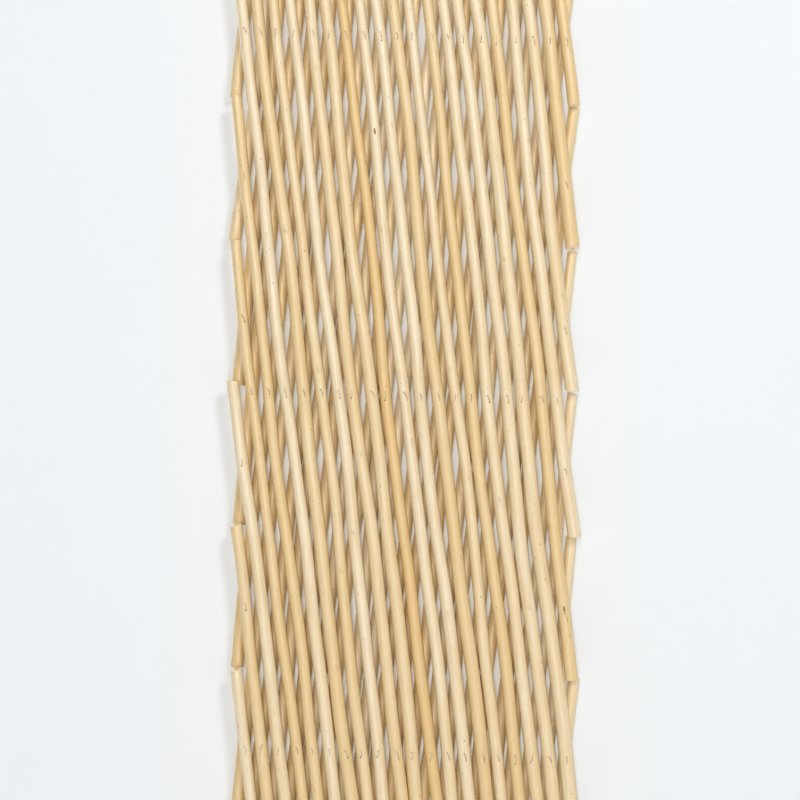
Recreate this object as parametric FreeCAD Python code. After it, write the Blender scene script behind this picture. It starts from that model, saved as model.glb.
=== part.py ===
"""Expanding trellis of peeled willow rods, folded up.

Two flat layers of long tapered rods lie one behind the other and lean opposite ways. Nails through
their crossings are the pivots, so the panel opens and shuts like a lazy-tongs.

Sizes are in millimetres. +Z is up and the face looks along -Y. The origin is at the foot, midway
across the panel, on the plane where the two layers meet.
"""
import FreeCAD, Part
import math
import os

from FreeCAD import Vector

# Rods
rod_diameter = 11.0  # mean, at half length
rod_diameter_spread = 1.0  # a single rod is up to this much thicker or thinner
rod_sides = 12  # flats that stand for the round
rod_taper = 0.0028  # diameter lost for each unit of length, from the thick end at the foot
free_end = 64.9  # past the last crossing, along the rod, mean of feet and tops
free_end_shift = 5.0  # every rod's top end is longer by this, and its foot end shorter
free_end_spread = 2.0

# Lattice
crossing_pitch = 65.0  # from one crossing to the next along a rod, mean of the two layers
pitch_difference = 0.5  # the front rods' pitch is longer by this, so the rows slope a little
folded_gap = 4.1  # between two neighbours of one layer, folded up
layer_gap = 0.3  # between the front and the back layer
half_rows = 10  # rows of crossings above and below the middle one
half_columns = 19  # columns of crossings on each side of the middle one
nailed_row_step = 5  # every crossing in each fifth row is nailed

# Nails
nail_diameter = 2.0  # across the corners of a square shank
nail_clearance = 0.05  # around a shank that turns in its hole
head_width = 4.4
head_thickness = 1.0
head_play = 0.3  # under the head, and under the bent tip
bent_tip = 8.0  # the tip's straight length, bent over along the front rod

rods_per_layer = half_rows + half_columns
middle_rod = (rods_per_layer - 1) // 2
lean = math.asin((rod_diameter + folded_gap) / crossing_pitch) / 2
front_pitch = crossing_pitch + pitch_difference / 2
back_pitch = crossing_pitch - pitch_difference / 2
longest_foot = free_end - free_end_shift + free_end_spread
lowest_crossing = half_rows * crossing_pitch + (half_columns - 1) * pitch_difference / 2
middle_height = (lowest_crossing + longest_foot) * math.cos(lean)
golden_ratio = (1 + math.sqrt(5)) / 2


def unevenness(seed, most):
    """A value between -most and most, scattered evenly over whole-number seeds."""
    return most * (2 * (seed * golden_ratio % 1) - 1)


def row_of(front, back):
    """The row where two rods cross, counted down from the middle row."""
    return back - front


def column_of(front, back):
    """The column where two rods cross, counted to the right from the middle column."""
    return front + back - 2 * middle_rod


def meet(front, back):
    """Do these two rods cross?"""
    return abs(row_of(front, back)) <= half_rows and abs(column_of(front, back)) <= half_columns


def nailed(front, back):
    """Is there a nail where these two rods cross? The panel's edges and some whole rows have them."""
    on_row = row_of(front, back) % nailed_row_step == 0
    on_edge = abs(column_of(front, back)) == half_columns
    return meet(front, back) and (on_row or on_edge)


def crossing(front, back):
    """The middle of a crossing, on the plane between the layers."""
    down_the_front_rod = (back - middle_rod) * front_pitch
    up_the_back_rod = (front - middle_rod) * back_pitch
    across = (up_the_back_rod + down_the_front_rod) * math.sin(lean)
    height = middle_height + (up_the_back_rod - down_the_front_rod) * math.cos(lean)
    return Vector(across, 0, height)


class Rod:
    """One tapered rod. side is -1 in the front layer and 1 in the back layer."""

    def __init__(self, side, number):
        others = range(rods_per_layer)
        pairs = [(number, other) if side < 0 else (other, number) for other in others]
        crossings = [crossing(*pair) for pair in pairs if meet(*pair)]
        crossings.sort(key=lambda point: point.z)
        up = (crossings[-1] - crossings[0]).normalize()
        seed = 2 * number + (side > 0)
        foot_length = free_end - free_end_shift + unevenness(seed + 0.25, free_end_spread)
        top_length = free_end + free_end_shift + unevenness(seed + 0.6, free_end_spread)
        middle_radius = (rod_diameter + unevenness(seed, rod_diameter_spread)) / 2

        self.side = side
        self.foot = crossings[0] - up * foot_length
        self.top = crossings[-1] + up * top_length
        length = (self.top - self.foot).Length
        half_loss = rod_taper * length / 4
        self.foot_radius = middle_radius + half_loss
        self.top_radius = middle_radius - half_loss

    def radius_at(self, point):
        """The rod's radius at a point's height."""
        share = (point.z - self.foot.z) / (self.top.z - self.foot.z)
        return self.foot_radius + share * (self.top_radius - self.foot_radius)

    def axis_depth(self, radius):
        """How far back the rod's axis lies where it has this radius: its inner edge stays level."""
        return self.side * (layer_gap / 2 + radius)

    def outer_depth(self, point):
        """How far back the rod's outer edge lies at a point's height."""
        return self.side * (layer_gap / 2 + 2 * self.radius_at(point))

    def solid(self):
        """The rod as a tapered bar, with one of its flats on the plane between the layers."""
        foot = self.foot + Vector(0, self.axis_depth(self.foot_radius), 0)
        top = self.top + Vector(0, self.axis_depth(self.top_radius), 0)
        foot_ring = ring(foot, top - foot, self.foot_radius)
        top_ring = ring(top, top - foot, self.top_radius)
        walls = [
            Part.makePolygon([low, next_low, next_high, high, low])
            for low, next_low, next_high, high in zip(
                foot_ring, foot_ring[1:], top_ring[1:], top_ring
            )
        ]
        outlines = [Part.makePolygon(foot_ring), Part.makePolygon(top_ring), *walls]
        return Part.Solid(Part.Shell([Part.Face(outline) for outline in outlines]))


def ring(centre, along, inner_radius):
    """The corners of a rod's section, closed, just outside a circle of this radius."""
    along = Vector(along).normalize()
    across = along.cross(Vector(0, 1, 0)).normalize()
    outwards = across.cross(along)
    half_side = math.pi / rod_sides
    outer_radius = inner_radius / math.cos(half_side)
    corners = []
    for corner in range(rod_sides):
        turn = (2 * corner + 1) * half_side
        spoke = outwards * math.cos(turn) + across * math.sin(turn)
        corners.append(centre + spoke * outer_radius)
    return corners + corners[:1]


def square_bar(point, width, start_depth, end_depth):
    """A bar from front to back, centred on a point of the face."""
    corner = Vector(point.x - width / 2, start_depth, point.z - width / 2)
    return Part.makeBox(width, end_depth - start_depth, width, corner)


def round_bar(point, radius, start_depth, end_depth):
    """The same with a round section."""
    start = Vector(point.x, start_depth, point.z)
    return Part.makeCylinder(radius, end_depth - start_depth, start, Vector(0, 1, 0))


def six_sided_bar(point, inner_radius, start_depth, end_depth):
    """The same with six sides, just outside a circle of this radius."""
    outer_radius = inner_radius / math.cos(math.pi / 6)
    start = Vector(point.x, start_depth, point.z)
    turns = [side * math.pi / 3 for side in range(7)]
    corners = [start + Vector(math.cos(turn), 0, math.sin(turn)) * outer_radius for turn in turns]
    return Part.Face(Part.makePolygon(corners)).extrude(Vector(0, end_depth - start_depth, 0))


def nail(point, front_rod, back_rod):
    """A nail held fast in the front rod. It passes through the back rod and ends in a head."""
    start = front_rod.axis_depth(front_rod.radius_at(point))
    head_front = back_rod.outer_depth(point) + head_play
    head_back = head_front + head_thickness
    shank = square_bar(point, nail_diameter / math.sqrt(2), start, head_back)
    return shank.fuse(square_bar(point, head_width, head_front, head_back))


def nail_hole(point, rod):
    """The hole that a square shank turns in, right through a rod."""
    inner = 0
    outer = 1.5 * rod.outer_depth(point)
    return six_sided_bar(point, nail_diameter / 2 + nail_clearance, min(inner, outer), max(inner, outer))


def middle_nail_hole(point, rod):
    """The round hole that the middle nail turns in, right through a rod."""
    inner = 0
    outer = 1.5 * rod.outer_depth(point)
    return round_bar(point, nail_diameter / 2 + nail_clearance, min(inner, outer), max(inner, outer))


def middle_nail(point, front_rod, back_rod):
    """The panel's middle pivot: a round nail, with its tip bent over in front along the front rod."""
    radius = nail_diameter / 2
    bend_radius = radius + head_play
    bend_depth = front_rod.outer_depth(point)
    head_front = back_rod.outer_depth(point) + head_play
    head_back = head_front + head_thickness
    forwards = Vector(0, -1, 0)
    along = (front_rod.foot - front_rod.top).normalize()
    bend_start = Vector(point.x, bend_depth, point.z)
    bend_centre = bend_start + along * bend_radius
    section = Part.Face(Part.Wire(Part.makeCircle(radius, bend_start, forwards)))
    bend = section.revolve(bend_centre, forwards.cross(along), 90)
    tip = Part.makeCylinder(radius, bent_tip, bend_centre + forwards * bend_radius, along)
    shank = round_bar(point, radius, bend_depth, head_front)
    head = square_bar(point, head_width, head_front, head_back)
    return shank.multiFuse([head, bend, tip])


front_rods = [Rod(-1, number) for number in range(rods_per_layer)]
back_rods = [Rod(1, number) for number in range(rods_per_layer)]
middle = (middle_rod, middle_rod)
nails = [
    (front, back)
    for front in range(rods_per_layer)
    for back in range(rods_per_layer)
    if nailed(front, back) and (front, back) != middle
]


def front_rod_solid(number):
    """A front rod with the nails that it holds."""
    rod = front_rods[number]
    held = [nail(crossing(*pair), rod, back_rods[pair[1]]) for pair in nails if pair[0] == number]
    solid = rod.solid().multiFuse(held)
    if number == middle_rod:
        solid = solid.cut(middle_nail_hole(crossing(*middle), rod))
    return solid


def back_rod_solid(number):
    """A back rod with the holes that it turns on."""
    rod = back_rods[number]
    holes = [nail_hole(crossing(*pair), rod) for pair in nails if pair[1] == number]
    if number == middle_rod:
        holes.append(middle_nail_hole(crossing(*middle), rod))
    return rod.solid().cut(holes)


def build():
    """Every solid, by name."""
    solids = {}
    for number in range(rods_per_layer):
        solids[f"front_rod_{number + 1:02d}"] = front_rod_solid(number)
        solids[f"back_rod_{number + 1:02d}"] = back_rod_solid(number)
    carriers = front_rods[middle_rod], back_rods[middle_rod]
    solids["middle_nail"] = middle_nail(crossing(*middle), *carriers)
    return solids


os.makedirs("parts", exist_ok=True)
for name, solid in build().items():
    solid.exportStep(f"parts/{name}.step")
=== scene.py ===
# %% [markdown]
# # A folding trellis of peeled willow
#
# The real panel is two flat layers of peeled willow rods. The front layer leans one way and the back
# layer the other, and wire nails join them where they cross, so that the panel opens like a
# lazy-tongs. The frame that is loaded here holds every rod as a straight bar with twelve flats, at
# its real size and place. This lesson gives each rod its round and slightly crooked form, its buds
# and cut ends, its nails and its finish, and then lights the panel as in a small studio.

import math
import random

import bmesh
import bpy
from mathutils import Matrix, Vector


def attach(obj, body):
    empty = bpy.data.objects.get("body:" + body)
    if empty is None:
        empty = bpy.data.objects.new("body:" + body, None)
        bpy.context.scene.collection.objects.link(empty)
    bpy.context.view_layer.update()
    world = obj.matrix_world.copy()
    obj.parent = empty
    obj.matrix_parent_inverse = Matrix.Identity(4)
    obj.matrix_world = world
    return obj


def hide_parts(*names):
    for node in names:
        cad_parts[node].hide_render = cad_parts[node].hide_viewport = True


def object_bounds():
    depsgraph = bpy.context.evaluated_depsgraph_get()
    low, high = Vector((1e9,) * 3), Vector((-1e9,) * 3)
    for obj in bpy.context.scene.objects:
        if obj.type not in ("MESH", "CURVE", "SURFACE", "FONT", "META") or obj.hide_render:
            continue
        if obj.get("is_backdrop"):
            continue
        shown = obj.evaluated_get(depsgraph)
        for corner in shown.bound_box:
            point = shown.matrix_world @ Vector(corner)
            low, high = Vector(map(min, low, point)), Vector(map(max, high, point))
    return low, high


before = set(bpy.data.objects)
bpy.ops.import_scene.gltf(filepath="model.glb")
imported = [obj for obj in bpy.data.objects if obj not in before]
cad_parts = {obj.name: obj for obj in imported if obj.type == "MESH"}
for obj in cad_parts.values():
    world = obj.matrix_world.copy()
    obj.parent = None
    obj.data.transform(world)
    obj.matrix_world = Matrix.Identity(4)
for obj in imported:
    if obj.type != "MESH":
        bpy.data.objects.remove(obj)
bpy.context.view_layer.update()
mm = 0.001  # the frame is in metres

# %% [markdown]
# ## Reading the rods
#
# A straight bar is known by its two ends. Each end of a bar in the frame is a ring of twelve corners,
# so the middle of the ring is the end of the rod's axis, and the distance to the flats between the
# corners is the rod's radius. Reading these from the frame keeps every visible rod exactly where the
# moving one is, and no list of places has to be copied.

# %% Find the two ends of a rod
flats = 12
end_height = 3 * mm  # a slanting end's corners all lie within this height


def corners_of(node):
    """The corners of a frame node, each of them once."""
    return {tuple(round(value, 6) for value in vertex.co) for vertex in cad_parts[node].data.vertices}


def rod_end(node, lowest_or_highest):
    """The middle and the radius of one end of a rod."""
    corners = [Vector(corner) for corner in corners_of(node)]
    height = lowest_or_highest(corner.z for corner in corners)
    ring = [corner for corner in corners if abs(corner.z - height) < end_height]
    middle = sum(ring, Vector()) / len(ring)
    corner_radius = sum((corner - middle).length for corner in ring) / len(ring)
    return middle, corner_radius * math.cos(math.pi / flats)


print("first front rod's foot:", rod_end("front_rod_01", min))

# %% [markdown]
# ## How a rod grew
#
# No willow shoot is straight. It bows a little from side to side, its thickness wavers, and along it
# sit the scars of its buds, each about two fifths of a turn further round than the last. A few waves
# with a length and a height of their own give the bow, and a seed taken from the rod's own name makes
# every rod different and yet the same each time that the script runs. The bow stays small, because
# the nails hold the rods to the straight lines that they turn on.

# %% Describe one rod
bow_waves = ((0.56, 1.3 * mm), (0.27, 0.75 * mm), (0.12, 0.22 * mm))  # length and height of each
thickness_waves = ((0.31, 0.022), (0.09, 0.010))  # length, and share of the radius
first_bud = (0.01, 0.07)
bud_spacing = (0.045, 0.105)
bud_turn = math.tau * 2 / 5
bud_turn_spread = 0.5


class Rod:
    """One willow rod: where the frame has it, and how it grew. side is -1 in front and 1 at the back."""

    def __init__(self, node):
        self.node = node
        self.layer, self.number = node.split("_rod_")
        self.side = -1 if self.layer == "front" else 1
        self.foot, self.foot_radius = rod_end(node, min)
        self.top, self.top_radius = rod_end(node, max)
        self.length = (self.top - self.foot).length
        self.dice = random.Random(node)
        self.bow_phases = [self.dice.uniform(0, math.tau) for wave in bow_waves]
        self.thickness_phases = [self.dice.uniform(0, math.tau) for wave in thickness_waves]
        self.buds = list(self.grow_buds())

    def grow_buds(self):
        """Each bud's distance from the foot and its direction round the rod."""
        along = self.dice.uniform(*first_bud)
        turn = self.dice.uniform(0, math.tau)
        while along < self.length:
            yield along, turn % math.tau
            along += self.dice.uniform(*bud_spacing)
            turn += bud_turn + self.dice.uniform(-bud_turn_spread, bud_turn_spread)

    def bow(self, along):
        """How far the rod strays sideways at this distance from its foot."""
        waves = zip(bow_waves, self.bow_phases)
        return sum(height * math.sin(math.tau * along / length + phase) for (length, height), phase in waves)

    def radius(self, along):
        """The rod's radius at this distance from its foot."""
        tapered = self.foot_radius + along / self.length * (self.top_radius - self.foot_radius)
        waves = zip(thickness_waves, self.thickness_phases)
        swell = sum(share * math.sin(math.tau * along / length + phase) for (length, share), phase in waves)
        return tapered * (1 + swell)

    def place(self):
        """Turns and moves a rod that stands upright at the origin to its place in the frame."""
        along = (self.top - self.foot).normalized()
        across = Vector((0, 1, 0)).cross(along).normalized()
        depth = along.cross(across)
        turn = Matrix((across, depth, along)).transposed().to_4x4()
        return Matrix.Translation(self.foot) @ turn


rods = [Rod(node) for node in sorted(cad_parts) if "_rod_" in node]
front_rods = [rod for rod in rods if rod.layer == "front"]
print("rods:", len(rods), "buds:", sum(len(rod.buds) for rod in rods))

# %% [markdown]
# ## Wood colours by rod
#
# Peeled rods are never all of one colour. Most are cream or straw, and now and then one has stayed in
# the boiling tank longer and is honey brown. One number for each rod, its tone, picks a colour from a
# ramp in the material: 0 is honey and 1 is the palest cream. The front rods that stand out are named one
# by one, and the rest draw a tone from their own seed.

# %% Choose the tones
named_rods = {  # by their numbers in the front layer
    "honey": ("14",),
    "straw": ("04", "06", "07", "17", "19", "23"),
    "beige": ("12", "13"),
    "cream": ("08", "11", "15", "16", "21", "22", "24", "25"),
}
tone_ranges = {
    "honey": (0.0, 0.06),
    "straw": (0.38, 0.55),
    "beige": (0.66, 0.76),
    "cream": (0.85, 1.0),
    "other": (0.42, 0.9),
}


def tone_of(rod):
    """The rod's colour as a place on the ramp from honey to cream."""
    kind = "other"
    for name, numbers in named_rods.items():
        if rod.layer == "front" and rod.number in numbers:
            kind = name
    return rod.dice.uniform(*tone_ranges[kind])


tones = {rod.node: tone_of(rod) for rod in rods}
print("mean tone:", round(sum(tones.values()) / len(tones), 2))

# %% [markdown]
# ## Nodes in a few words
#
# Materials are built from nodes, and each node needs to be made, set and linked. Two small helpers
# keep the recipes below readable: one makes a node with its settings and fills its sockets with
# either a value or a link, the other makes a colour ramp from a list of stops.

# %% Helpers for materials


def new_material(name):
    """An empty material: its node tree and its main shader."""
    material = bpy.data.materials.new(name)
    material.use_nodes = True
    return material, material.node_tree, material.node_tree.nodes["Principled BSDF"]


def add_node(tree, kind, inputs=(), **settings):
    """A node with its settings. Each pair in inputs is a socket and the value or link that it takes."""
    node = tree.nodes.new(kind)
    for name, value in settings.items():
        setattr(node, name, value)
    for socket, value in inputs:
        if isinstance(value, bpy.types.NodeSocket):
            tree.links.new(value, node.inputs[socket])
        else:
            node.inputs[socket].default_value = value
    return node


def add_ramp(tree, factor, stops):
    """A colour ramp. Each stop is a place from 0 to 1 and a colour."""
    ramp = add_node(tree, "ShaderNodeValToRGB", [("Fac", factor)])
    elements = ramp.color_ramp.elements
    while len(elements) < len(stops):
        elements.new(1)
    for element, (position, colour) in zip(elements, stops):
        element.position = position
        element.color = (*colour, 1)
    return ramp.outputs["Color"]


def mix_colours(tree, factor, first, second, blend="MIX"):
    """One colour over another."""
    node = add_node(tree, "ShaderNodeMix", data_type="RGBA", blend_type=blend)
    for socket, value in ((0, factor), (6, first), (7, second)):
        if isinstance(value, bpy.types.NodeSocket):
            tree.links.new(value, node.inputs[socket])
        else:
            node.inputs[socket].default_value = value
    return node.outputs[2]


print("helpers ready")

# %% [markdown]
# ## Peeled willow
#
# Under the bark the wood is smooth and has a satin shine. Looked at closely it has soft patches of
# cream and straw, hair-fine streaks along the grain, and a scatter of small dark specks. All of this
# follows the rod, so the pattern is laid on the rod's own UV map, which is measured in metres: one
# way runs round the rod and the other along it. Noise that is squeezed one way and drawn out the
# other turns into grain. The brown smudge at each bud comes from an attribute on the mesh, and a weak
# coat over the wood gives the shine.

# %% The peeled willow material
sheet_map = "rod_sheet"
honey = (0.77, 0.53, 0.232)
straw = (0.785, 0.597, 0.317)
cream = (0.85, 0.738, 0.54)
band_tan = (0.71, 0.52, 0.28, 1)
grain_tan = (0.60, 0.42, 0.19, 1)
speck_brown = (0.20, 0.11, 0.05, 1)
scar_brown = (0.46, 0.30, 0.145, 1)
speck_cells = (150, 62, 1)  # to a metre, round the rod and along it
grain_depth = 0.12 * mm


def stretched_noise(tree, sheet, across, along, detail):
    """Noise on a rod's sheet, with so many spots to a metre across and along."""
    mapping = add_node(tree, "ShaderNodeMapping", [("Vector", sheet), ("Scale", (across, along, 1))])
    inputs = [("Vector", mapping.outputs["Vector"]), ("Scale", 1.0), ("Detail", detail)]
    return add_node(tree, "ShaderNodeTexNoise", inputs, noise_dimensions="2D").outputs["Fac"]


def to_range(tree, value, low, high, new_low, new_high):
    """A value moved from one range to another."""
    old_range = [("Value", value), ("From Min", low), ("From Max", high)]
    new_range = [("To Min", new_low), ("To Max", new_high)]
    return add_node(tree, "ShaderNodeMapRange", old_range + new_range).outputs["Result"]


def add_values(tree, first, second, operation="ADD"):
    """Two values added, or put together another way."""
    return add_node(tree, "ShaderNodeMath", [(0, first), (1, second)], operation=operation).outputs[0]


def speckles(tree, sheet):
    """Small dark specks: 1 in the middle of a speck and 0 outside."""
    mapping = add_node(tree, "ShaderNodeMapping", [("Vector", sheet), ("Scale", speck_cells)])
    inputs = [("Vector", mapping.outputs["Vector"]), ("Scale", 1.0)]
    cells = add_node(tree, "ShaderNodeTexVoronoi", inputs, voronoi_dimensions="2D")
    chances = add_node(tree, "ShaderNodeSeparateColor", [("Color", cells.outputs["Color"])])
    size = to_range(tree, chances.outputs["Red"], 0.7, 1.0, 0.0, 0.085)
    inside = add_values(tree, size, cells.outputs["Distance"], "SUBTRACT")
    darkness = to_range(tree, chances.outputs["Green"], 0.0, 1.0, 0.2, 0.85)
    return add_values(tree, to_range(tree, inside, 0.0, 0.03, 0.0, 1.0), darkness, "MULTIPLY")


def make_peeled_willow():
    """The rods' own surface."""
    material, tree, shader = new_material("peeled_willow")
    sheet = add_node(tree, "ShaderNodeUVMap", uv_map=sheet_map).outputs["UV"]
    # the tone attribute also carries a painted lightening towards the top of each rod
    tone = add_node(tree, "ShaderNodeAttribute", attribute_name="tone").outputs["Fac"]
    scar = add_node(tree, "ShaderNodeAttribute", attribute_name="bud_scar").outputs["Fac"]
    patches = stretched_noise(tree, sheet, across=45, along=9, detail=3.0)
    grain = stretched_noise(tree, sheet, across=1500, along=38, detail=2.0)
    blotches = stretched_noise(tree, sheet, across=260, along=110, detail=3.0)
    bands = stretched_noise(tree, sheet, across=420, along=16, detail=2.0)

    mixed_tone = add_values(tree, tone, to_range(tree, patches, 0.3, 0.7, -0.16, 0.16))
    wood = add_ramp(tree, mixed_tone, [(0.0, honey), (0.5, straw), (1.0, cream)])
    banded = mix_colours(tree, to_range(tree, bands, 0.42, 0.72, 0.0, 0.42), wood, band_tan)
    streaked = mix_colours(tree, to_range(tree, grain, 0.35, 0.75, 0.0, 0.28), banded, grain_tan)
    scarred = to_range(tree, add_values(tree, scar, blotches, "MULTIPLY"), 0.12, 0.5, 0.0, 0.5)
    marked = mix_colours(tree, scarred, streaked, scar_brown)
    speckled = mix_colours(tree, speckles(tree, sheet), marked, speck_brown)
    tree.links.new(speckled, shader.inputs["Base Color"])

    tree.links.new(to_range(tree, blotches, 0.3, 0.7, 0.42, 0.56), shader.inputs["Roughness"])
    shader.inputs["Specular IOR Level"].default_value = 1.0
    shader.inputs["Coat Weight"].default_value = 0.3
    shader.inputs["Coat Roughness"].default_value = 0.45
    height = add_values(tree, grain, scarred)
    relief = [("Height", height), ("Strength", 0.25), ("Distance", grain_depth)]
    bump = add_node(tree, "ShaderNodeBump", relief)
    tree.links.new(bump.outputs["Normal"], shader.inputs["Normal"])
    return material


peeled_willow = make_peeled_willow()
print("material:", peeled_willow.name)

# %% [markdown]
# ## Cut ends
#
# Secateurs leave an end that is paler than the skin, with a soft brown pith in the middle and a darker
# rim. The end's part of the UV map is flat and has its zero on the pith, so the distance from zero is
# all that the colour ramp needs.

# %% The cut end material
pith_brown = (0.42, 0.28, 0.14)
fresh_wood = (0.86, 0.73, 0.52)
rim_wood = (0.70, 0.53, 0.33)
largest_radius = 7 * mm
fibre_depth = 0.2 * mm


def make_cut_end():
    """The sawn or snipped face of a rod."""
    material, tree, shader = new_material("cut_end")
    sheet = add_node(tree, "ShaderNodeUVMap", uv_map=sheet_map).outputs["UV"]
    distance = add_node(tree, "ShaderNodeVectorMath", [(0, sheet)], operation="LENGTH").outputs["Value"]
    outwards = to_range(tree, distance, 0.0, largest_radius, 0.0, 1.0)
    fibres = stretched_noise(tree, sheet, across=1400, along=1400, detail=3.0)
    wavering = add_values(tree, outwards, to_range(tree, fibres, 0.3, 0.7, -0.08, 0.08))
    stops = [(0.0, pith_brown), (0.14, pith_brown), (0.22, fresh_wood), (0.7, fresh_wood), (0.95, rim_wood)]
    tree.links.new(add_ramp(tree, wavering, stops), shader.inputs["Base Color"])
    shader.inputs["Roughness"].default_value = 0.8
    relief = [("Height", fibres), ("Strength", 0.5), ("Distance", fibre_depth)]
    bump = add_node(tree, "ShaderNodeBump", relief)
    tree.links.new(bump.outputs["Normal"], shader.inputs["Normal"])
    return material


cut_end = make_cut_end()
print("material:", cut_end.name)

# %% [markdown]
# ## A straight rod
#
# A cone with its point cut off is the right start: `create_cone` takes both radii and closes the
# ends. Its long edges are then cut into short steps, because a bent rod and a bud need rings of
# corners to bend at, and the two rims get a small bevel, as a blade never leaves a razor edge.

# %% Make a straight rod
rod_sides = 16
ring_step = 5 * mm
rim_bevel = 0.5 * mm


def straight_rod(rod):
    """A closed, tapering rod that stands at the origin, with its outer side towards -Y or +Y."""
    mesh = bmesh.new()
    middle = Matrix.Translation((0, 0, rod.length / 2))
    sizes = {"radius1": rod.foot_radius, "radius2": rod.top_radius, "depth": rod.length}
    bmesh.ops.create_cone(mesh, cap_ends=True, segments=rod_sides, matrix=middle, **sizes)
    long_edges = [edge for edge in mesh.edges if edge.calc_length() > rod.length / 2]
    cuts = round(rod.length / ring_step) - 1
    bmesh.ops.subdivide_edges(mesh, edges=long_edges, cuts=cuts, use_grid_fill=True)
    caps = [face for face in mesh.faces if len(face.verts) == rod_sides]
    rims = {edge for cap in caps for edge in cap.edges}
    bmesh.ops.bevel(mesh, geom=list(rims), offset=rim_bevel, offset_type="OFFSET", segments=2,
                    profile=0.5, affect="EDGES", material=-1)
    return mesh


trial = straight_rod(rods[0])
print("a straight rod has", len(trial.faces), "faces")
trial.free()

# %% [markdown]
# ## The rod's sheet
#
# A UV map is the rod's surface unrolled. The way round starts at the side that faces the other
# layer, where the seam can't be seen, and each rod gets a strip of its own on one wide sheet, so that
# no two rods share their grain. The cut ends are laid flat round zero instead.

# %% Unroll a rod
strip_width = 0.05  # wider than the way round the thickest rod


def round_from_crest(rod, point):
    """The angle round the rod from its outermost line, from -pi to pi."""
    return math.atan2(point.x, rod.side * point.y)


def unroll(mesh, rod):
    """Gives a straight rod its UV map. The ends get the second material."""
    sheet = mesh.loops.layers.uv.new(sheet_map)
    strip = (rods.index(rod) + 0.5) * strip_width
    for face in mesh.faces:
        is_cap = len(face.verts) == rod_sides
        face.material_index = 1 if is_cap else 0
        face.smooth = not is_cap
        angles = [round_from_crest(rod, loop.vert.co) for loop in face.loops]
        over_seam = max(angles) - min(angles) > math.pi
        for loop, angle in zip(face.loops, angles):
            if is_cap:
                loop[sheet].uv = loop.vert.co.xy
                continue
            if over_seam and angle < 0:
                angle += math.tau
            loop[sheet].uv = (strip + angle * rod.foot_radius, loop.vert.co.z)


trial = straight_rod(rods[0])
unroll(trial, rods[0])
print("loops on the sheet:", sum(len(face.loops) for face in trial.faces))
trial.free()

# %% [markdown]
# ## Bending it to shape
#
# Now the straight rod is grown crooked. Every corner moves by the same few rules: out or in with the
# wavering thickness and the low swelling at a bud, sideways with the bow, and along the rod near its
# ends, because a snipped end is slanted and a little ragged. Two attributes are for the material: how
# close a corner is to a bud, where the wood is stained, and the rod's tone, which gets a little paler
# towards the thin end. That paling is partly the wood's own tone and partly painted light, which makes
# the top of the panel look more brightly lit.

# %% Grow a rod
bud_height = (0.05 * mm, 0.25 * mm)
bud_reach = 6 * mm
bud_limit = 18 * mm  # past this a bud changes nothing
bud_width = 0.55  # in radians round the rod
scar_reach = 4 * mm
scar_width = 0.3
end_reach = 14 * mm
end_slant = 0.26  # the steepest cut, as a slope
end_raggedness = 0.22 * mm
# the tone rises towards the top of each rod: partly the wood's own tone, partly painted light for a more
# brightly lit top
tone_rise_and_painted_light = 0.27  # for each metre of the rod


def closeness(distance, reach):
    """1 at no distance, falling off smoothly past the reach."""
    return math.exp(-((distance / reach) ** 2))


def turn_between(first, second):
    """The angle between two directions, the short way round."""
    return abs((first - second + math.pi) % math.tau - math.pi)


def grow(mesh, rod):
    """Turns a straight rod into a grown one and sets it in its place."""
    tone_layer = mesh.verts.layers.float.new("tone")
    scar_layer = mesh.verts.layers.float.new("bud_scar")
    heights = [rod.dice.uniform(*bud_height) for bud in rod.buds]
    slants = [Vector((rod.dice.uniform(-end_slant, end_slant), rod.dice.uniform(-end_slant, end_slant)))
              for end in ("foot", "top")]
    for vertex in mesh.verts:
        point = vertex.co
        along = min(max(point.z, 0), rod.length)
        angle = round_from_crest(rod, point)
        straight_radius = rod.foot_radius + along / rod.length * (rod.top_radius - rod.foot_radius)
        swelling = rod.radius(along) - straight_radius
        scar = 0.0
        for (bud_along, bud_angle), height in zip(rod.buds, heights):
            if abs(along - bud_along) > bud_limit:
                continue
            turn = turn_between(angle, bud_angle)
            swelling += height * closeness(along - bud_along, bud_reach) * closeness(turn, bud_width)
            scar += closeness(along - bud_along, scar_reach) * closeness(turn, scar_width)
        # tone and painted light: the rod gets paler towards its top, partly as the wood does and partly as if
        # lit more brightly there
        vertex[tone_layer] = tones[rod.node] + tone_rise_and_painted_light * (along - rod.length / 2)
        vertex[scar_layer] = min(scar, 1.0)

        from_top = along > rod.length / 2
        from_end = rod.length - along if from_top else along
        lift = slants[from_top].dot(point.xy) * closeness(from_end, end_reach)
        if from_end < rim_bevel:
            lift += rod.dice.uniform(-end_raggedness, end_raggedness)
        grown = point.xy * (1 + swelling / straight_radius)
        vertex.co = (grown.x + rod.bow(along), grown.y, point.z + lift)
    bmesh.ops.transform(mesh, matrix=rod.place(), verts=mesh.verts)


print("longest rod:", round(max(rod.length for rod in rods), 3))

# %% [markdown]
# ## All the rods
#
# Each rod becomes one object that stands for its node in the frame and moves with that node's body.
# Where a bud would press into the other layer, the wood is flattened against the plane between the
# layers: the layers slide past each other there when the panel opens.

# %% Make every rod
layer_clearance = 0.08 * mm


def add_piece(name, mesh, materials, body):
    """A finished object from a mesh under construction, riding on a body of the frame."""
    data = bpy.data.meshes.new(name)
    mesh.to_mesh(data)
    mesh.free()
    for material in materials:
        data.materials.append(material)
    piece = bpy.data.objects.new(name, data)
    bpy.context.scene.collection.objects.link(piece)
    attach(piece, body)
    return piece


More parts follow.
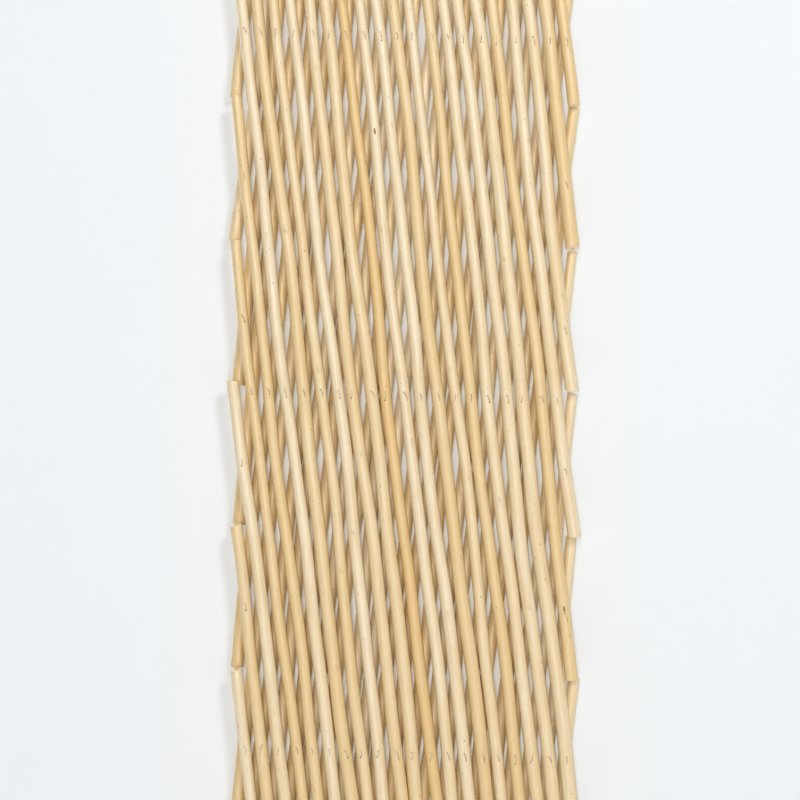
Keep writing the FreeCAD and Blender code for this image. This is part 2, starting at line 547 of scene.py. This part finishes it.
def add_rod(rod):
    """One finished rod in place of its node."""
    mesh = straight_rod(rod)
    unroll(mesh, rod)
    grow(mesh, rod)
    for vertex in mesh.verts:
        vertex.co.y = rod.side * max(rod.side * vertex.co.y, layer_clearance)
    name = f"willow_{rod.layer}_{rod.number}"
    piece = add_piece(name, mesh, (peeled_willow, cut_end), rod.node)
    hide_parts(rod.node)
    return piece


rod_pieces = [add_rod(rod) for rod in rods]
print("rods:", len(rod_pieces), "faces:", sum(len(piece.data.polygons) for piece in rod_pieces))

# %% [markdown]
# ## Steel wire, bruised wood and painted shade
#
# The nails are plain drawn wire, gone dull. The tip of each is hammered into the rod, so little more
# than a pale scratch shows. Beside it a thin dark line is painted shade, for the wall of the tip's groove
# that the light doesn't reach, and a small dark mark at each end is partly bruised wood and partly painted
# shade of the hole that the wire goes into. From further off, all that is left of a nail is a faint pair
# of strokes.

# %% Nail materials
wire_dark = (0.50, 0.44, 0.35)
wire_bright = (0.84, 0.79, 0.69)
# colours of the dark lenses by the nails: bruised wood together with painted shade
bruise_and_shade_dark = (0.20, 0.115, 0.045)
bruise_and_shade_brown = (0.48, 0.32, 0.155)


def make_two_tone(name, dark, light, spots_per_metre, metallic, roughness):
    """A material that wavers between two colours, on the piece's own coordinates."""
    material, tree, shader = new_material(name)
    coordinates = add_node(tree, "ShaderNodeTexCoord").outputs["Object"]
    inputs = [("Vector", coordinates), ("Scale", spots_per_metre), ("Detail", 3.0)]
    noise = add_node(tree, "ShaderNodeTexNoise", inputs).outputs["Fac"]
    tree.links.new(add_ramp(tree, noise, [(0.35, dark), (0.65, light)]), shader.inputs["Base Color"])
    shader.inputs["Metallic"].default_value = metallic
    uneven = to_range(tree, noise, 0.3, 0.7, roughness - 0.1, roughness + 0.1)
    tree.links.new(uneven, shader.inputs["Roughness"])
    return material


nail_wire = make_two_tone("nail_wire", wire_dark, wire_bright,
                          spots_per_metre=900, metallic=0.4, roughness=0.45)
bruise_and_shade_wood = make_two_tone("bruise_and_shade_wood", bruise_and_shade_dark, bruise_and_shade_brown,
                             spots_per_metre=1500, metallic=0.0, roughness=0.8)
print("materials:", nail_wire.name, bruise_and_shade_wood.name)

# %% [markdown]
# ## Where the nails are
#
# In the frame a nail is one solid with its front rod, and its head stands behind the back layer. The
# heads are the only corners that far back, so they are easily picked out, and a jump in height
# between two corners shows where the next nail begins.

# %% Find the nails
behind_the_rods = 7 * mm
apart = 20 * mm


def find_nails(node):
    """The middle of each nail's head, on its inner face, and the head's thickness."""
    corners = [Vector(corner) for corner in corners_of(node) if corner[1] > behind_the_rods]
    corners.sort(key=lambda corner: corner.z)
    heads = []
    for corner in corners:
        if not heads or corner.z - heads[-1][-1].z > apart:
            heads.append([])
        heads[-1].append(corner)
    for head in heads:
        middle = sum(head, Vector()) / len(head)
        front = min(corner.y for corner in head)
        back = max(corner.y for corner in head)
        yield Vector((middle.x, front, middle.z)), back - front


nails = {rod.node: list(find_nails(rod.node)) for rod in front_rods}
nails["middle_nail"] = list(find_nails("middle_nail"))
print("nails:", sum(len(found) for found in nails.values()))

# %% [markdown]
# ## One clenched nail
#
# A nail is driven in from behind until its tip stands out in front, and then hammered flat along the
# rod. So its wire is a straight run, a bend and a short straight tip that sinks back into the wood.
# `spin` sweeps a ring of corners round a bend, and extruding the ring makes the straight runs. Local Z
# is the way the nail was driven, and local X the way its tip was bent.

# %% Make a nail
wire_sides = 6
wire_radius = 0.5 * mm
bend_radius = 0.9 * mm
bend_angle = math.radians(94)
bend_steps = 3
tip_sink = (0.1 * mm, 0.35 * mm)  # of the wire's axis under the rod's crest, just past the bend
tip_length = (3.5 * mm, 6.5 * mm)
tip_twist = 0.35
tip_point = 0.4  # the width of the tip's end, as a share of the wire
# the dark line beside each tip is painted shade, for the wall of its groove that the light doesn't reach
groove_shade_width = (0.15 * mm, 0.3 * mm)
groove_shade_length = 0.6  # half of it, as a share of the tip
# the small dark mark at each end of a tip is partly bruised wood and partly painted shade of the hole the
# wire goes into
stain_and_shade_size = (0.3 * mm, 0.75 * mm)
stain_and_shade_stretch = (1.3, 0.8)  # along the rod and across it
mark_lens_depth = 0.2 * mm
head_radius = 2.2 * mm
head_sides = 10
head_crown = 0.75  # the outer face of a head, as a share of its width


def extrude_ring(mesh, ring, move):
    """Draws a ring of edges out along a straight line and returns the new ring."""
    made = bmesh.ops.extrude_edge_only(mesh, edges=ring)["geom"]
    corners = [part for part in made if isinstance(part, bmesh.types.BMVert)]
    bmesh.ops.translate(mesh, verts=corners, vec=move)
    return [part for part in made if isinstance(part, bmesh.types.BMEdge) and part.is_boundary]


def ring_corners(ring):
    """The corners of a ring of edges."""
    return list({corner for edge in ring for corner in edge.verts})


def add_stain_and_shade(mesh, place, size):
    """A dark mark on the wood, used for bruises and for painted shade: a flat lens that lies half sunk in the
    rod.
    """
    shape = Matrix.Translation(place) @ Matrix.Diagonal((*size, 1))
    made = bmesh.ops.create_uvsphere(mesh, u_segments=8, v_segments=4, radius=1, matrix=shape)
    for face in {face for corner in made["verts"] for face in corner.link_faces}:
        face.material_index = 1


def clenched_nail(shank, head_thickness, dice):
    """A nail from its head at the origin, through a crossing so thick, to its bent-over tip."""
    mesh = bmesh.new()
    tip = dice.uniform(*tip_length)
    head = Matrix.Translation((0, 0, -head_thickness / 2))
    bmesh.ops.create_cone(mesh, cap_ends=True, segments=head_sides, radius1=head_radius * head_crown,
                          radius2=head_radius, depth=head_thickness, matrix=head)
    corners = bmesh.ops.create_circle(mesh, segments=wire_sides, radius=wire_radius)["verts"]
    ring = list({edge for corner in corners for edge in corner.link_edges})
    bend_start = shank - dice.uniform(*tip_sink) - bend_radius
    ring = extrude_ring(mesh, ring, (0, 0, bend_start))
    bend = bmesh.ops.spin(mesh, geom=ring_corners(ring) + ring, cent=(bend_radius, 0, bend_start),
                          axis=(0, 1, 0), angle=bend_angle, steps=bend_steps)["geom_last"]
    ring = [part for part in bend if isinstance(part, bmesh.types.BMEdge)]
    away = Vector((math.sin(bend_angle), 0, math.cos(bend_angle)))
    ring = extrude_ring(mesh, ring, away * tip)
    point = sum((corner.co for corner in ring_corners(ring)), Vector()) / wire_sides
    bmesh.ops.scale(mesh, vec=(tip_point,) * 3, verts=ring_corners(ring), space=Matrix.Translation(-point))
    bmesh.ops.edgeloop_fill(mesh, edges=ring)
    for face in mesh.faces:
        face.smooth = True
    # painted shade: a thin dark lens beside the tip, on the side of its groove that lies in shade
    split = dice.uniform(*groove_shade_width)
    add_stain_and_shade(mesh, (point.x / 2, wire_radius + split / 2, shank), (groove_shade_length * tip, split, mark_lens_depth))
    # at each end of the tip: bruised wood and painted shade of the hole that the wire goes into
    for end in (-wire_radius, point.x):
        stain_and_shade = dice.uniform(*stain_and_shade_size)
        size = (stain_and_shade_stretch[0] * stain_and_shade, stain_and_shade_stretch[1] * stain_and_shade, mark_lens_depth)
        add_stain_and_shade(mesh, (end, 0, shank), size)
    bmesh.ops.recalc_face_normals(mesh, faces=mesh.faces)
    return mesh


trial = clenched_nail(20 * mm, 1 * mm, random.Random(1))
print("a nail has", len(trial.faces), "faces")
trial.free()

# %% [markdown]
# ## All the nails
#
# The nails of one front rod are gathered in one object, which rides on that rod: when the panel opens,
# the back rods turn on them. Each tip lies on the crest of its bowed rod, so its place comes from the
# rod that was grown above. The middle nail is a body of its own in the frame, and so it is here. Two
# rods also have a dark brown mark where a nail was pulled out again: partly bruised wood and partly
# painted shade of the hole.

# %% Drive the nails
middle_head, _ = nails["middle_nail"][0]
# painted shade and bruise: an old nail hole is drawn as a flat dark lens, not as a hole
old_holes = {"front_rod_15": 235 * mm, "front_rod_23": -194 * mm}  # above the middle nail
old_hole_size = (3.1 * mm, 0.95 * mm, mark_lens_depth)  # half its length, width and depth


def nail_place(rod, head, twist):
    """Stands a nail on its head's place, with its tip pointing down the rod. Also its length in the wood."""
    way_up = (rod.top - rod.foot).normalized()
    along = (head - rod.foot).dot(way_up)
    crest = rod.place() @ Vector((rod.bow(along), -rod.radius(along), along))
    driven = Vector((0, -1, 0))
    start = Vector((crest.x, head.y, crest.z))
    tip_way = Matrix.Rotation(twist, 3, driven) @ -way_up
    tip_way = (tip_way - driven * tip_way.dot(driven)).normalized()
    turn = Matrix((tip_way, driven.cross(tip_way), driven)).transposed().to_4x4()
    return Matrix.Translation(start) @ turn, head.y - crest.y


def gather(gathered, mesh, place):
    """Sets a small mesh in its place and adds it to the others."""
    bmesh.ops.transform(mesh, matrix=place, verts=mesh.verts)
    one = bpy.data.meshes.new("one_of_many")
    mesh.to_mesh(one)
    mesh.free()
    gathered.from_mesh(one)
    bpy.data.meshes.remove(one)


def add_nails(name, node, rod):
    """The nails that one body of the frame holds, as one object."""
    gathered = bmesh.new()
    for head, thickness in nails[node]:
        place, shank = nail_place(rod, head, rod.dice.uniform(-tip_twist, tip_twist))
        gather(gathered, clenched_nail(shank, thickness, rod.dice), place)
    if node in old_holes:
        height = middle_head.z + old_holes[node]
        in_the_rod = rod.foot.lerp(rod.top, (height - rod.foot.z) / (rod.top.z - rod.foot.z))
        place, depth = nail_place(rod, in_the_rod, 0)
        # painted shade of an old nail hole, together with bruised wood
        hole = bmesh.new()
        add_stain_and_shade(hole, (0, 0, depth), old_hole_size)
        gather(gathered, hole, place)
    return add_piece(name, gathered, (nail_wire, bruise_and_shade_wood), node)


nail_pieces = [add_nails(f"nails_front_{rod.number}", rod.node, rod) for rod in front_rods if nails[rod.node]]
middle_carrier = next(rod for rod in front_rods if rod.node == "front_rod_15")
middle_piece = add_nails("nail_middle", "middle_nail", middle_carrier)
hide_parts("middle_nail")
print("objects with nails:", len(nail_pieces) + 1)

# %% [markdown]
# ## The studio
#
# The panel stands on a pale floor with a white board close behind it, which catches the soft shadow
# to the left of the rods. A board that close would hide the back of the panel, so it has one side
# only: faces turned away from the viewer are clear, and it casts no shadow of its own. Both shine a
# little, as white card does in a bright room, so that no corner of the studio goes dark.

# %% Floor and board
floor_size = 60.0
board_width = 3.4
board_height = 2.6
board_gap = 2.0 * mm
board_glow = 0.21
floor_glow = 0.38


def make_pale(name, colour, glow):
    """A plain pale surface for the studio, which shines a little."""
    material, _, shader = new_material(name)
    shader.inputs["Base Color"].default_value = (*colour, 1)
    shader.inputs["Roughness"].default_value = 0.9
    shader.inputs["Specular IOR Level"].default_value = 0.1
    shader.inputs["Emission Color"].default_value = (1, 1, 1, 1)
    shader.inputs["Emission Strength"].default_value = glow
    return material


def make_one_sided(material):
    """Makes a surface clear from behind."""
    tree = material.node_tree
    shader = tree.nodes["Principled BSDF"]
    away = add_node(tree, "ShaderNodeNewGeometry").outputs["Backfacing"]
    clear = add_node(tree, "ShaderNodeBsdfTransparent").outputs["BSDF"]
    mixed = add_node(tree, "ShaderNodeMixShader", [(0, away), (1, shader.outputs["BSDF"]), (2, clear)])
    tree.links.new(mixed.outputs["Shader"], tree.nodes["Material Output"].inputs["Surface"])


def add_sheet(name, width, depth, place, material):
    """A flat sheet of the studio."""
    mesh = bmesh.new()
    bmesh.ops.create_grid(mesh, x_segments=1, y_segments=1, size=0.5)
    bmesh.ops.transform(mesh, matrix=place @ Matrix.Diagonal((width, depth, 1, 1)), verts=mesh.verts)
    data = bpy.data.meshes.new(name)
    mesh.to_mesh(data)
    mesh.free()
    data.materials.append(material)
    sheet = bpy.data.objects.new(name, data)
    bpy.context.scene.collection.objects.link(sheet)
    sheet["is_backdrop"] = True
    return sheet


low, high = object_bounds()
pale_floor = make_pale("pale_floor", (0.53, 0.535, 0.54), floor_glow)
floor_place = Matrix.Translation((0, 0, low.z))
add_sheet("studio_floor", floor_size, floor_size, floor_place, pale_floor)

white_board = make_pale("white_board", (0.62, 0.64, 0.66), board_glow)
make_one_sided(white_board)
board_middle = Vector((0, high.y + board_gap, low.z + board_height / 2))
board_place = Matrix.Translation(board_middle) @ Matrix.Rotation(math.pi / 2, 4, "X")
board = add_sheet("studio_board", board_width, board_height, board_place, white_board)
board.visible_shadow = False
print("board at", board_middle)

# %% [markdown]
# ## Light
#
# The photograph's light is soft and comes from the right, from above and from the front: the brightest
# line of each rod lies right of its middle, and the shadows fall to the left and downwards. One square
# lamp there is the key. The gaps between the rods are bright as well, and only light from straight in
# front, or from above that, gets into such upright slots. So a tall and narrow lamp stands behind the
# camera, a little to the left, where it leaves a thin dark line along the right side of each rod.
#
# The other lights are for views from the side and from behind: a lamp behind the panel, a sun straight
# above that lights the floor evenly and only grazes the rods, and a sky that is dim as a light and pale
# where it is seen as a background. The gamma adds some of the contrast that a photograph has over plain
# light.

# %% Lamps and sky
panel_middle = (low + high) / 2
key_direction = Vector((0.36, -0.8, 0.53))
fill_direction = Vector((-0.07, -1, 0.15))
back_direction = Vector((-0.55, 0.75, 0.35))


def add_lamp(name, direction, distance, width, height, power):
    """A soft lamp that looks at the middle of the panel."""
    data = bpy.data.lights.new(name, "AREA")
    data.shape = "RECTANGLE"
    data.size = width
    data.size_y = height
    data.energy = power
    lamp = bpy.data.objects.new(name, data)
    lamp.location = panel_middle + direction.normalized() * distance
    lamp.rotation_euler = (-direction).to_track_quat("-Z", "Y").to_euler()
    lamp.visible_camera = False
    bpy.context.scene.collection.objects.link(lamp)
    return lamp


add_lamp("key_lamp", key_direction, distance=3.3, width=0.68, height=0.68, power=35.5)
add_lamp("fill_lamp", fill_direction, distance=3.4, width=0.35, height=2.2, power=44.5)
add_lamp("back_lamp", back_direction, distance=3.0, width=2.0, height=2.0, power=30.0)


def add_sun(name, strength, angle):
    """A soft sun straight above."""
    data = bpy.data.lights.new(name, "SUN")
    data.energy = strength
    data.angle = math.radians(angle)
    sun = bpy.data.objects.new(name, data)
    bpy.context.scene.collection.objects.link(sun)
    return sun


def make_sky(name, light, seen):
    """A sky with one strength as a light and another as a background."""
    sky = bpy.data.worlds.new(name)
    sky.use_nodes = True
    tree = sky.node_tree
    dim = tree.nodes["Background"]
    dim.inputs["Color"].default_value = (1.0, 0.95, 0.86, 1)
    dim.inputs["Strength"].default_value = light
    pale = add_node(tree, "ShaderNodeBackground", [("Color", (0.98, 0.985, 0.99, 1)), ("Strength", seen)])
    is_seen = add_node(tree, "ShaderNodeLightPath").outputs["Is Camera Ray"]
    shaders = [(0, is_seen), (1, dim.outputs["Background"]), (2, pale.outputs["Background"])]
    mixed = add_node(tree, "ShaderNodeMixShader", shaders)
    tree.links.new(mixed.outputs["Shader"], tree.nodes["World Output"].inputs["Surface"])
    return sky


add_sun("top_sun", strength=1.2, angle=10)
bpy.context.scene.world = make_sky("pale_sky", light=0.10, seen=0.66)
bpy.context.scene.view_settings.view_transform = "Standard"
bpy.context.scene.view_settings.gamma = 0.88
print("lamps ready")

# %% [markdown]
# ## Camera
#
# The photograph looks straight at the panel through a long lens and crops it above and below. At 0.9 mm
# to a pixel its 800 pixels span 0.72 m, and the panel's middle crossing lies a little above and to the
# right of the picture's centre. The camera stands where its lens makes the front rods fit that frame.

# %% Place the camera
picture_pixels = 800
metres_per_pixel = 0.9 * mm
middle_pixel = (404.2, 393.0)  # the middle crossing in the photograph
lens = 100.0
sensor = 36.0

front_plane = sum(rod.foot.y for rod in front_rods) / len(front_rods)
picture_width = picture_pixels * metres_per_pixel
camera_data = bpy.data.cameras.new("photograph")
camera_data.lens = lens
camera_data.sensor_width = sensor
camera = bpy.data.objects.new("photograph", camera_data)
camera.location = (
    middle_head.x + (picture_pixels / 2 - middle_pixel[0]) * metres_per_pixel,
    front_plane - picture_width * lens / sensor,
    middle_head.z - (picture_pixels / 2 - middle_pixel[1]) * metres_per_pixel,
)
camera.rotation_euler = (math.pi / 2, 0, 0)
bpy.context.scene.collection.objects.link(camera)
bpy.context.scene.camera = camera
print("camera at", camera.location)

# %% [markdown]
# ## Finish
#
# The dressed panel has to keep the size of the frame, so its box is measured once more at the end.

# %% Measure the dressed panel
low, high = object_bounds()
